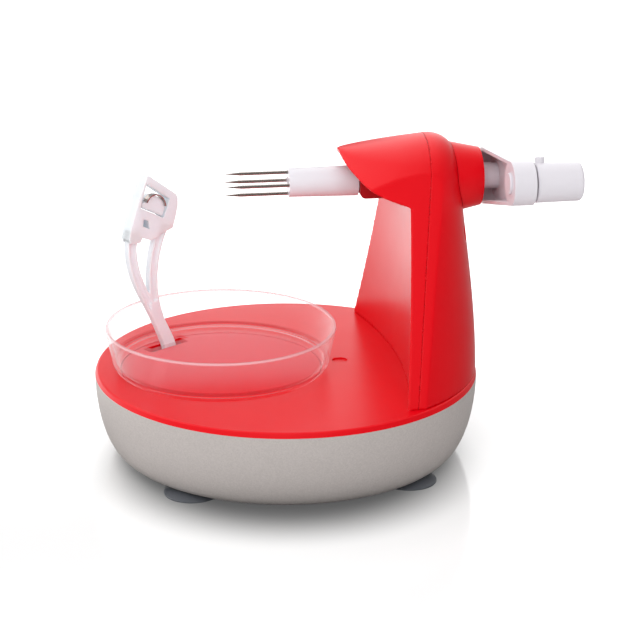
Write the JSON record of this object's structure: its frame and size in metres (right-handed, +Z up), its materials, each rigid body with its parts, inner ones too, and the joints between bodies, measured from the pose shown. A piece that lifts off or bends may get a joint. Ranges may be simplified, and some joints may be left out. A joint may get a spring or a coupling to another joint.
{
  "type": "hand-cranked fruit peeler",
  "caption": "Hand-cranked fruit peeler with a round suction-cup base, hooded tower, pronged fork, clear dish and a sprung peeling arm on a geared turntable.",
  "frame": {"origin": "centre of the bounding box on the surface that the suction cups stand on", "axes": "+X along the spindle from the fork to the crank, +Y away from the picture's viewer, +Z up"},
  "size_m": [0.2142, 0.18, 0.1518],
  "materials": {
    "red_abs": "satin moulded ABS",
    "dark_red_abs": "satin moulded ABS",
    "silver_paint": "satin silver lacquer on ABS",
    "white_abs": "satin moulded ABS",
    "clear_styrene": "polished clear moulded styrene",
    "cup_rubber": "moulded soft PVC",
    "steel": "drawn stainless steel",
    "brass": "turned and oiled",
    "gear_acetal": "moulded natural acetal"
  },
  "bodies": {
    "base": {"base_bowl": "silver_paint", "bottom_plate": "dark_red_abs", "suction_cup_front_left": "cup_rubber", "suction_cup_front_right": "cup_rubber", "suction_cup_back_left": "cup_rubber", "suction_cup_back_right": "cup_rubber", "plate_screws": "steel", "lid_screws": "steel", "top_lid": "red_abs", "tower_front_shell": "red_abs", "tower_rear_shell": "red_abs", "tower_screws": "steel", "rear_collar": "red_abs", "front_bearing_block": "dark_red_abs", "front_bush": "brass", "rear_bush": "brass", "gear_bracket": "dark_red_abs", "turntable_axle": "steel", "idler_axle": "steel"},
    "crank": {"spindle": "steel", "fork_sleeve": "white_abs", "fork_tines": "steel", "spindle_bevel": "gear_acetal", "crank_arm": "white_abs", "crank_screw": "steel", "knob_stud": "white_abs"},
    "knob": {"handle_knob": "white_abs"},
    "drive": {"drive_shaft": "steel", "shaft_bevel": "gear_acetal", "shaft_pinion": "gear_acetal"},
    "idler": {"idler_gear": "gear_acetal"},
    "ring": {"ring_gear": "gear_acetal"},
    "carriage": {"turntable": "red_abs", "clutch_ring": "cup_rubber", "dish": "clear_styrene", "arm_pin": "steel", "arm_spring": "steel"},
    "arm": {"peel_arm": "white_abs", "peeler_head": "white_abs"},
    "blade": {"blade_carrier": "white_abs", "blade": "steel"}
  },
  "joints": [
    {"name": "crank_spin", "type": "hinge", "parent": "base", "child": "crank", "pos_m": [-0.0171, 0, 0.13], "axis": [1, 0, 0], "continuous": true},
    {"name": "knob_spin", "type": "hinge", "parent": "crank", "child": "knob", "pos_m": [0.0971, -0.05301, 0.1403], "axis": [1, 0, 0], "continuous": true},
    {"name": "drive_shaft_spin", "type": "hinge", "parent": "base", "child": "drive", "pos_m": [0.05095, 0, 0.05], "axis": [0, 0, 1], "continuous": true},
    {"name": "idler_spin", "type": "hinge", "parent": "base", "child": "idler", "pos_m": [0.00664, 0, 0.015], "axis": [0, 0, 1], "continuous": true},
    {"name": "ring_spin", "type": "hinge", "parent": "base", "child": "ring", "pos_m": [-0.0478, 0, 0.02], "axis": [0, 0, 1], "continuous": true},
    {"name": "arm_orbit", "type": "hinge", "parent": "base", "child": "carriage", "pos_m": [-0.0478, 0, 0.035], "axis": [0, 0, 1], "range_deg": [-90, 60]},
    {"name": "arm_press", "type": "hinge", "parent": "carriage", "child": "arm", "pos_m": [-0.06954, 0.03215, 0.0329], "axis": [-0.8151, -0.5793, 0], "range_deg": [0, 12], "stiffness_Nm_per_rad": 0.08, "springref_deg": -20.05},
    {"name": "blade_swivel", "type": "hinge", "parent": "arm", "child": "blade", "pos_m": [-0.07729, 0.02664, 0.1149], "axis": [0.6758, 0.4802, -0.5592], "range_deg": [-12, 12]}
  ],
  "couplings": [
    {"joint": "drive_shaft_spin", "follows": "crank_spin", "ratio": -1},
    {"joint": "idler_spin", "follows": "crank_spin", "ratio": 0.2069},
    {"joint": "ring_spin", "follows": "crank_spin", "ratio": -0.047291}
  ]
}
